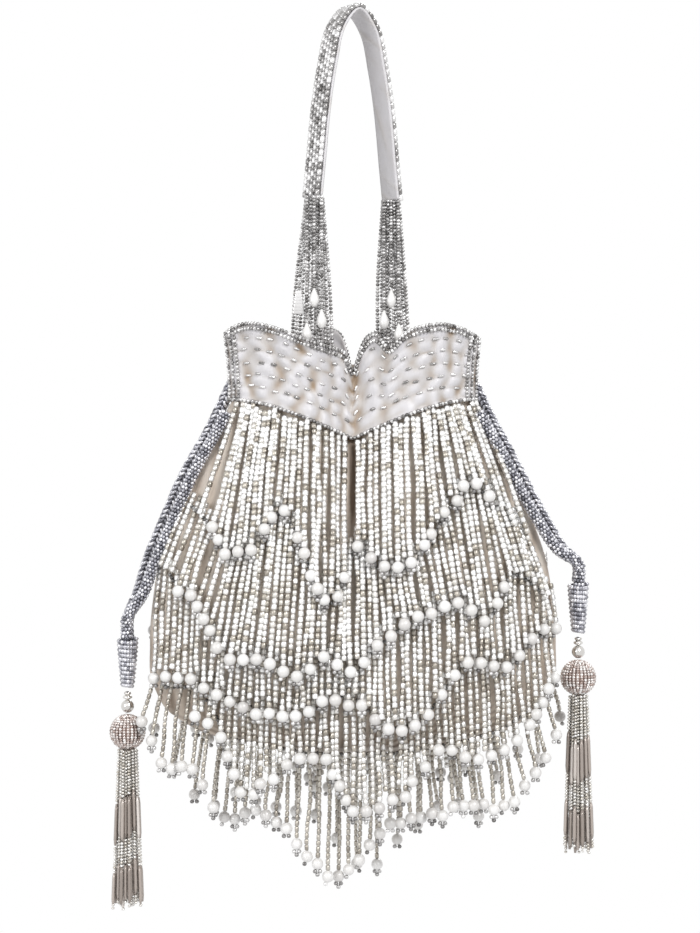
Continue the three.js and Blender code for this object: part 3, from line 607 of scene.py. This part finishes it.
def buildTier(side, index):
    tier = tiers[index]
    start, end = tier["hem"][0][0] * bodyW, tier["hem"][-1][0] * bodyW
    sparse = 2 if side == "back" and index == lowest else 1
    count = int((end - start) / tier["pitch"] / sparse) + 1
    tubes, pearls, smalls = [], [], []
    lastPearl = np.array([-1000.0, 0.0])
    for k, hemX in enumerate(np.linspace(start, end, count)):
        hemZ = float(hemLines[index](hemX))
        if isLeftOut(index, k, hemX, hemZ):
            continue
        hemZ = min(hemZ, rowZ(index, sewnX(index, hemX)) - fringe["shortest"]) + float(rng.normal(0, 0.9))
        inSpan = tier["pearled"][0] <= hemX / bodyW <= tier["pearled"][1]
        here = np.array([hemX, hemZ])
        pearled = inSpan and (index == lowest or np.linalg.norm(here - lastPearl) > fringe["pearlStep"])
        if pearled:
            lastPearl = here
        rise = fringe["bareRise"] if inSpan and not pearled else 0
        path = strandPath(index, hemX, hemZ + rise, fringe["stagger"] * (k % 2 == 0))
        free = float(rng.uniform(0.7, 2.2))
        tubes += strandTubes(path, tier["width"], fringe["onPearl"] if pearled else free)
        if not pearled:
            continue
        foot = np.array(path[-1])
        size = fringe["pearl"] * float(rng.uniform(0.92, 1.0))
        pearls.append(frameAt(foot + [0, 0, -fringe["pearlDrop"]], upright, (size, size, size)))
        for across, below in fringe["smallPlaces"][:int(rng.integers(1, 4))]:
            place = foot + [across, float(rng.normal(0, 0.2)), -below]
            smalls.append(frameAt(place, upright, fringe["smallBead"]))
    # each tier below the first is sewn on under a line of seed beads given a darker tone than the drops, seen
    # below the pearls above it
    row = [rowPoint(index, x) for x in np.linspace(start, end, 90)] if index else []
    row = [p for p in row if abs(p[0]) < float(halfWidth(form["neckZ"] - p[2])) - fringe["rowInset"]]
    rowBeads = strung(row, fringe["rowBead"], fringe["rowStep"]) if row else []
    smallTones = np.concatenate([tonesAround(0.55, 0.2, len(smalls)), tonesAround(0.3, 0.15, len(rowBeads))])
    smalls += rowBeads
    if side == "back":
        tubes, pearls, smalls = halfTurn(tubes), halfTurn(pearls), halfTurn(smalls)
    name = f"{side}_{index + 1}"
    # the tier's tone factor is painted shade, darker towards the bottom
    tubeTones = tier["tone"] * glassToneAndGlint(len(tubes), tier["bright"])
    keepBeads(f"fringeTubes_{name}", tubeShape, tubes, tubeTones, silverLinedGlass, "bag", [f"fringe_{name}"])
    keepBeads(f"fringePearls_{name}", pearlShape, pearls, tonesAround(0.6, 0.25, len(pearls)), whitePearl,
              "bag")
    keepBeads(f"fringeSmall_{name}", seedShape, smalls, smallTones, silverSeed, "bag")
    return len(tubes)


tubeCount = sum(buildTier(side, index) for side in ("front", "back") for index in range(len(tiers)))
print("fringe done:", tubeCount, "tube beads")


# handle: satin strip with rows of short tubes outside, bead strings from its ends into the mouth

handle = {"drop": 85.0, "halfSpan": 20.0, "width": 14.0, "strip": 1.2, "lining": 0.9, "foldDepth": 0.7,
          "turn": math.radians(30), "rows": 5, "rowSpan": 0.82, "facingOff": 1.7,
          "facingBead": (2.5, 2.2, 2.9), "facingStep": 3.0, "strings": 7,
          "stringBead": (2.1, 2.1, 1.6), "stringStep": 1.7,
          "mouthZ": -169.0, "mouthInset": 3.3, "feet": {"left": (0.17, 0.5), "right": (0.22, 0.48)},
          "hang": 46.0, "hangOff": 4.4, "hangs": ((3.3, 1.22), (0, 0.88), (-3.3, 1.09)),
          "hangBead": (2.1, 2.1, 1.5), "hangStep": 1.55, "teardrop": (4.8, 4.8, 9.0),
          "loop": [(1, 1), (0.92, 0.83), (0.78, 0.52), (0.62, 0.3), (0.4, 0.1), (0, 0)]}
loopHalf = [(-a * handle["halfSpan"], 0.0, handle["strip"] / 2 - d * handle["drop"])
            for a, d in handle["loop"]]
loopPath = smoothPath(loopHalf + [(-x, y, z) for x, y, z in loopHalf[-2::-1]], 160)
turnMatrix = np.array([[math.cos(handle["turn"]), -math.sin(handle["turn"]), 0],
                       [math.sin(handle["turn"]), math.cos(handle["turn"]), 0], [0, 0, 1]])


def bandPoint(share, across, off):
    at = share * (len(loopPath) - 1)
    i = min(int(at), len(loopPath) - 2)
    here = loopPath[i] + (loopPath[i + 1] - loopPath[i]) * (at - i)
    ahead = loopPath[i + 1] - loopPath[i]
    ahead = ahead / np.linalg.norm(ahead)
    outward = np.cross(ahead, (0.0, 1.0, 0.0))
    return turnMatrix @ (here + outward * off + np.array([0, across * handle["width"], 0]))


def bandPlace(u, v):
    # the lining is a little too long for the bent strip, so it lies in slanting folds
    ridge = max(0.0, math.sin(74 * u + 5.5 * v + 2.5 * math.sin(19 * u))) ** 3
    fold = ridge * (0.55 + 0.45 * math.sin(31 * u + 2))
    x, y, z = bandPoint(u, v - 0.5, -handle["foldDepth"] * fold * math.sin(math.pi * v))
    # the fourth value is painted shade, a little darker along the folds
    return x, y, z, 0.05 + 0.3 * fold


def bandEnd(sign):
    return turnMatrix @ np.array([sign * handle["halfSpan"], 0, -handle["drop"] - 0.3])


def mouthFoot(footX, front):
    # where a string is sewn inside the mouth, at its front (-1) or back (1)
    inside = clothOut(footX, handle["mouthZ"]) - handle["mouthInset"]
    return np.array([footX, front * inside, handle["mouthZ"]])


def buildHandleStrands(side, sign):
    end = bandEnd(sign)
    strings, drops = [], []
    for front in (-1, 1):
        for i, share in enumerate(np.linspace(*handle["feet"][side], handle["strings"]) + 0.015 * front):
            foot = mouthFoot(sign * share * neckW, front)
            start = end + [sign * (i - 3) * 1.2, 1.2 * front - 2 * sign + 1.1 * (i % 2), 0.6]
            bow = growth(start, foot, 0.5) + [float(rng.normal(0, 1.0)), float(rng.normal(0, 0.8)), 3]
            path = smoothPath([start, bow, foot], 40)
            strings += strung(path, handle["stringBead"], handle["stringStep"], float(rng.uniform(0, 1.7)))
    frontFoot = mouthFoot(0.35 * neckW, -1)
    slope = (frontFoot[1] - end[1]) / (end[2] - frontFoot[2])
    for across, share in handle["hangs"]:
        # these lie over the strings that slope to the front of the mouth
        top = end + [sign * across, -handle["hangOff"], 0]
        foot = top + np.array([0, slope, -1]) * handle["hang"] * share
        strings += strung([top, foot], handle["hangBead"], handle["hangStep"])
        drops.append(frameAt(foot + [0, 0, -handle["teardrop"][2] / 2], upright, handle["teardrop"]))
    keepBeads(f"handleStrings_{side}", seedShape, strings, tonesAround(0.56, 0.24, len(strings)), silverSeed,
              "bag", [f"handle_strands_{side}"])
    keepBeads(f"handleTeardrops_{side}", teardropShape, drops, [0.8] * len(drops), whitePearl, "bag")


band = clothGrid("handleSatin", 220, 12, bandPlace, handle["lining"], creamSatin, "bag", ["handle_band"])
facing = []
for row in range(handle["rows"]):
    across = handle["rowSpan"] * (row / (handle["rows"] - 1) - 0.5)
    line = [bandPoint(s, across, handle["facingOff"]) for s in np.linspace(0, 1, 150)]
    facing += strung(line, handle["facingBead"], handle["facingStep"], 1.5 * (row % 2) + 0.8)
keepBeads("handleFacing", tubeShape, facing, tonesAround(0.72, 0.22, len(facing)), silverSeed, "bag",
          ["handle_facing"])
buildHandleStrands("left", -1)
buildHandleStrands("right", 1)

pull = {"share": 0.52, "along": 0.55, "rise": 4.0, "ring": 2.25, "wire": 0.45, "length": 9.4, "neck": 2.6,
        "width": 5.6, "thick": 1.1, "overlap": 1.0, "ribs": 7}


def makeRing(bm):
    circle = bmesh.ops.create_circle(bm, segments=8, radius=pull["wire"])["verts"]
    for vert in circle:
        vert.co = (vert.co.x + pull["ring"], 0.0, vert.co.y)
    bmesh.ops.spin(bm, geom=bm.edges[:], cent=(0, 0, 0), axis=(0, 0, 1), angle=2 * math.pi, steps=24,
                   use_merge=True)
    bmesh.ops.remove_doubles(bm, verts=bm.verts, dist=1e-4)


def makeBar(bm):
    bmesh.ops.create_cube(bm, size=1.0)
    bmesh.ops.bevel(bm, geom=bm.edges[:], offset=0.12, segments=2, profile=0.5, affect="EDGES", material=-1)


def buildPull():
    # a wire ring on one strand, with a ribbed tag that widens to its foot
    end = bandEnd(-1)
    foot = mouthFoot(-pull["share"] * neckW, -1)
    start = np.array([end[0] - (abs(foot[0]) - handle["halfSpan"]) * 0.12, end[1] + 0.8, end[2] - 2])
    place = growth(start, foot, pull["along"]) + [0, 0, pull["rise"]]
    keepBeads("pullRing", template(makeRing), [frameAt(place, upright)], [0.5], platedSilver, "bag")
    bars = []
    length = pull["length"] + pull["overlap"]
    for i in range(pull["ribs"]):
        share = (i + 0.5) / pull["ribs"]
        width = growth(pull["neck"], pull["width"], share)
        z = place[2] + pull["overlap"] - share * length
        bars.append(frameAt((place[0], place[1] - pull["ring"], z), upright,
                            (width, pull["thick"], 1.02 * length / pull["ribs"])))
    keepBeads("pullTag", template(makeBar), bars, np.linspace(1.0, 0.85, pull["ribs"]), silverSeed, "bag",
              ["pull_tag"])


buildPull()
print("handle done")


# drawcords: a plaited and a round bead rope down each side, a wrapped end and a bead tassel

cord = {"diameter": 6.0, "seat": 3.9, "levels": (0.14, 0.32, 0.5, 0.68, 0.82), "innerTurn": 0.3,
        "ringRadius": 2.05, "core": (4.2, 4.2, 3.4), "drop": {"left": 106.6, "right": 82.0}}
ropes = {"outer": {"spacing": 2.3, "around": 6, "slant": 0.8, "bead": (1.7, 1.7, 3.6)},
         "inner": {"spacing": 1.6, "around": 8, "slant": 0.0, "bead": (1.7, 1.7, 1.7)}}
wrapping = {"length": 24.0, "oval": 0.7, "turns": 11, "perTurn": 18, "bead": (2.2, 2.4, 2.0)}
tassel = {"hangGap": 0.8, "gap": 0.3, "spacer": 3.6, "silverBall": 6.0, "ball": 16.6, "core": 14.4,
          "spacers": ((-1.0, 3.4, 1.9), (-2.8, 4.4, 2.2), (-2.6, 1.0, 5.0)),
          "netStrings": 26, "netRows": 18, "netCap": 0.2, "netFull": 1.0, "netBead": (1.65, 1.65, 1.4),
          "skirt": 72.0, "skirtTop": 10.0, "skirtEnd": 14.5, "strings": 30, "stringTurn": 2.4,
          "bugleWidth": 1.75, "seed": (1.7, 1.7, 1.35), "seedStep": 1.42}
# a skirt string from its top to its foot: share where a length starts and ends, and whether it is a bugle
skirtParts = ((0.0, 0.29, False), (0.29, 0.565, True), (0.565, 0.735, False), (0.735, 0.975, True),
              (0.98, 1.0, False))


def ropePlace(sign, z, turn):
    # the middle of a rope on the cloth, a given way round from the side seam
    width = float(halfWidth(form["neckZ"] - z))
    if turn == 0:
        return np.array([sign * (width + cord["seat"]), 0.0, z])
    onCloth = [np.array([width * math.cos(a), clothOut(width * math.cos(a), z)])
               for a in (turn - 0.02, turn, turn + 0.02)]
    along = (onCloth[2] - onCloth[0]) / np.linalg.norm(onCloth[2] - onCloth[0])
    place = onCloth[1] + np.array([along[1], -along[0]]) * cord["seat"]
    return np.array([sign * place[0], -place[1], z])


def ropeBeads(path, rope):
    # rings of beads round the rope; a slant that changes side bead by bead gives the plait
    beads = []
    slant = rope["slant"]
    for i, (place, along) in enumerate(zip(*walk(path, rope["spacing"]))):
        ring = frameAt(place, along)
        for k in range(rope["around"]):
            angle = 2 * math.pi * (k + 0.5 * (i % 2) * (slant == 0)) / rope["around"]
            out = ring[:, 0] * math.cos(angle) + ring[:, 1] * math.sin(angle)
            side = ring[:, 1] * math.cos(angle) - ring[:, 0] * math.sin(angle)
            lean = ring[:, 2] + side * slant * (1 if k % 2 else -1)
            beads.append(frameAt(place + out * cord["ringRadius"], lean, rope["bead"]))
    return beads


def ropePoints(sign, drop, endX, endY, endTop):
    lines = {"outer": [np.array([sign * (neckW - 1), 0.0, form["neckZ"] + 7])],
             "inner": [ropePlace(sign, form["neckZ"] - 6, 0.34)]}
    for share in cord["levels"]:
        swing = max(0.0, (share - 0.5) / 0.5) ** 2  # the ropes leave the cloth on their way down
        for name, turn in (("outer", 0), ("inner", cord["innerTurn"])):
            place = ropePlace(sign, form["neckZ"] - share * drop, turn)
            place[0] = growth(place[0], endX, swing)
            lines[name].append(place)
    half = cord["diameter"] / 2 + 0.3
    for above in (8, -1.2):
        lines["outer"].append(np.array([endX, endY + half, endTop + above]))
        lines["inner"].append(np.array([endX, endY - half, endTop + above]))
    return lines


def buildWrap(side, endX, endY, endTop):
    # a bead string wound round and round, narrower to its foot
    wrap = []
    count = wrapping["turns"] * wrapping["perTurn"]
    oval = wrapping["oval"]
    for i in range(count):
        share = i / count
        radius = growth(cord["diameter"] - 0.5, cord["diameter"] / 2, share ** 1.3)
        angle = 2 * math.pi * i / wrapping["perTurn"]
        centre = (endX + oval * radius * math.cos(angle), endY + radius * math.sin(angle),
                  endTop - 1.2 - share * (wrapping["length"] - 2.6))
        wrap.append(frameAt(centre, (-oval * math.sin(angle), math.cos(angle), 0), wrapping["bead"]))
    return keepBeads(f"cordWrap_{side}", seedShape, wrap, tonesAround(0.68, 0.22, len(wrap)), smokeSeed,
                     "bag", [f"cord_end_{side}"])


def buildBall(side, body, centre):
    # strings of seed beads from pole to pole over a core; every second one stops short of the poles
    core = [frameAt(centre, upright, [tassel["core"]] * 3)]
    keepBeads(f"tasselCore_{side}", pearlShape, core, [0.5], rosyCore, body, [f"tassel_ball_{side}"])
    net = []
    radius = tassel["ball"] / 2 - 0.8
    for k in range(tassel["netStrings"]):
        angle = 2 * math.pi * k / tassel["netStrings"]
        c, s = math.cos(angle), math.sin(angle)
        for tilt in np.linspace(tassel["netCap"], math.pi - tassel["netCap"], tassel["netRows"]):
            if k % 2 and abs(tilt - math.pi / 2) > tassel["netFull"]:
                continue
            out = np.array([math.sin(tilt) * c, math.sin(tilt) * s, math.cos(tilt)])
            down = np.array([math.cos(tilt) * c, math.cos(tilt) * s, -math.sin(tilt)])
            net.append(frameAt(np.array(centre) + out * radius, down, tassel["netBead"]))
    keepBeads(f"tasselNet_{side}", seedShape, net, tonesAround(0.68, 0.2, len(net)), roseSeed, body)


def skirtPoint(top, angle, share, reach, at):
    # a string starts under the ball and leans outwards to the foot of the skirt
    out = share * growth(tassel["skirtTop"] / 2 - 0.6, tassel["skirtEnd"] / 2, at)
    fall = 0.9 * share - at * (tassel["skirt"] - 1.5 + 0.9 * share) * reach
    return np.array([top[0] + out * math.cos(angle), top[1] + out * math.sin(angle), top[2] + fall])


def buildSkirt(side, body, top):
    bugles, seeds = [], []
    for k in range(tassel["strings"]):
        angle = k * tassel["stringTurn"]
        share = math.sqrt((k + 0.5) / tassel["strings"])
        shift, reach = float(rng.normal(0, 0.03)), float(rng.uniform(0.95, 1.0))
        for first, last, isBugle in skirtParts:
            upper = max(0, first + shift * (first > 0))
            lower = min(1.0, last + shift * (last < 0.98))
            a, b = (skirtPoint(top, angle, share, reach, at) for at in (upper, lower))
            if isBugle:
                size = (tassel["bugleWidth"], tassel["bugleWidth"], np.linalg.norm(a - b) * 0.97)
                bugles.append(frameAt((a + b) / 2, a - b, size, float(rng.uniform(0, 1))))
            else:
                seeds += strung([a, b], tassel["seed"], tassel["seedStep"], float(rng.uniform(0, 1.2)))
    keepBeads(f"tasselBugles_{side}", tubeShape, bugles, tonesAround(0.38, 0.22, len(bugles)), taupeBugle,
              body, [f"tassel_skirt_{side}"])
    keepBeads(f"tasselSeeds_{side}", seedShape, seeds, tonesAround(0.52, 0.12, len(seeds)), silverLinedGlass,
              body)


def buildTassel(side, endX, endY, top):
    # spacers and a plated ball, a ball of bead strings and a skirt of bugles, one under the other
    body = f"{side}_tassel"
    plated = [frameAt((endX, endY, top + below), upright, (width, width, high))
              for below, width, high in tassel["spacers"]]
    keepBeads(f"tasselSpacers_{side}", pearlShape, plated, [0.5, 0.8, 0.3], platedSilver, body,
              [f"spacer_{side}"])
    top -= tassel["spacer"] + tassel["gap"]
    plated = [frameAt((endX, endY, top - tassel["silverBall"] / 2), upright, [tassel["silverBall"]] * 3)]
    keepBeads(f"tasselSilver_{side}", pearlShape, plated, [0.7], platedSilver, body, [f"silver_ball_{side}"])
    top -= tassel["silverBall"] + tassel["gap"]
    buildBall(side, body, (endX, endY, top - tassel["ball"] / 2))
    top -= tassel["ball"] + tassel["gap"]
    buildSkirt(side, body, (endX, endY, top))


def buildDrawcord(side, sign):
    drop = cord["drop"][side]
    endX = sign * (bodyW + tassel["ball"] / 2 + 1.5)
    endY = -cord["diameter"] / 2
    endTop = form["neckZ"] - drop
    wrapped = buildWrap(side, endX, endY, endTop)
    buildTassel(side, endX, endY, endTop - wrapping["length"] - tassel["hangGap"])
    for name, points in ropePoints(sign, drop, endX, endY, endTop).items():
        path = smoothPath(points, 60)
        beads = ropeBeads(path, ropes[name])
        core = strung(path, cord["core"], 2.0, 1.2)  # dark beads inside, so that no light comes through; their dark tone is painted shade inside the rope
        tones = np.concatenate([tonesAround(0.66, 0.24, len(beads)), np.zeros(len(core))])
        rope = keepBeads(f"rope_{side}_{name}", seedShape, beads + core, tones, smokeSeed, "bag",
                         [f"cord_{side}_{name}"])


buildDrawcord("left", -1)
buildDrawcord("right", 1)
print("drawcords done")


# stage, light and camera

def stagePlane(name, corners):
    bm = bmesh.new()
    bm.faces.new([bm.verts.new(c) for c in corners])
    mesh = bpy.data.meshes.new(name)
    bm.to_mesh(mesh)
    bm.free()
    plane = bpy.data.objects.new(name, mesh)
    bpy.context.scene.collection.objects.link(plane)
    mesh.materials.append(paper)


def cameraWhite(tree, plain, output, share):
    # seen directly, mirrored or through glass the surround is white, by a given share;
    # what is left shows its own light and shadow
    light = addNode(tree, "ShaderNodeLightPath")
    direct = addNode(tree, "ShaderNodeMath", {"operation": "MAXIMUM"},
                     {0: light.outputs["Is Camera Ray"], 1: light.outputs["Is Transmission Ray"]})
    seen = addNode(tree, "ShaderNodeMath", {"operation": "MAXIMUM"},
                   {0: direct.outputs[0], 1: light.outputs["Is Glossy Ray"]})
    part = addNode(tree, "ShaderNodeMath", {"operation": "MULTIPLY", 1: share}, {0: seen.outputs[0]})
    kind = "ShaderNodeEmission" if output.type == "OUTPUT_MATERIAL" else "ShaderNodeBackground"
    white = addNode(tree, kind, {"Color": (1, 1, 1, 1), "Strength": 1.0})
    mix = addNode(tree, "ShaderNodeMixShader", links={0: part.outputs[0], 1: plain, 2: white.outputs[0]})
    tree.links.new(mix.outputs[0], output.inputs["Surface"])


paper = bpy.data.materials.new("paperSweep")
paper.use_nodes = True
matte = paper.node_tree.nodes["Principled BSDF"]
matte.inputs["Base Color"].default_value = toLinear("#f2f2f2")
matte.inputs["Roughness"].default_value = 0.9
cameraWhite(paper.node_tree, matte.outputs[0], paper.node_tree.nodes["Material Output"], 0.92)
floorZ = -0.9  # the bag hangs well above it
stagePlane("floor", [(-1, -1, floorZ), (1, -1, floorZ), (1, 1, floorZ), (-1, 1, floorZ)])

world = bpy.data.worlds.new("studio")
bpy.context.scene.world = world
world.use_nodes = True
studio = world.node_tree.nodes["Background"]
studio.inputs["Color"].default_value = toLinear("#f4f4f4")
studio.inputs["Strength"].default_value = 0.54
cameraWhite(world.node_tree, studio.outputs[0], world.node_tree.nodes["World Output"], 1.0)


def softbox(name, place, size, power):
    lamp = bpy.data.lights.new(name, "AREA")
    lamp.size, lamp.energy = size, power
    box = bpy.data.objects.new(name, lamp)
    bpy.context.scene.collection.objects.link(box)
    box.location = place
    aim = np.array((0, 0, -0.22)) - np.array(place)  # at the middle of the bag
    tilt = math.atan2(math.hypot(aim[0], aim[1]), -aim[2])
    box.rotation_euler = (tilt, 0, math.atan2(aim[1], aim[0]) - math.pi / 2)


softbox("keyBox", (0.6, -1.15, 0.6), size=0.5, power=14)
softbox("fillBox", (-0.9, -0.9, 0.1), size=0.7, power=6)
softbox("backBox", (0.3, 1.0, 0.7), size=0.6, power=8)

view = {"distance": 1.1, "frameHeight": 0.4152, "sensor": 36.0, "aimX": -0.0013, "aimZ": -0.206,
        "planeY": -0.02}
lens = bpy.data.cameras.new("camera")
lens.sensor_width = view["sensor"]
lens.lens = view["sensor"] * view["distance"] / view["frameHeight"]
camera = bpy.data.objects.new("camera", lens)
bpy.context.scene.collection.objects.link(camera)
camera.location = (view["aimX"], view["planeY"] - view["distance"], view["aimZ"])
camera.rotation_euler = (math.pi / 2, 0, 0)
bpy.context.scene.camera = camera
bpy.context.scene.view_settings.view_transform = "Standard"
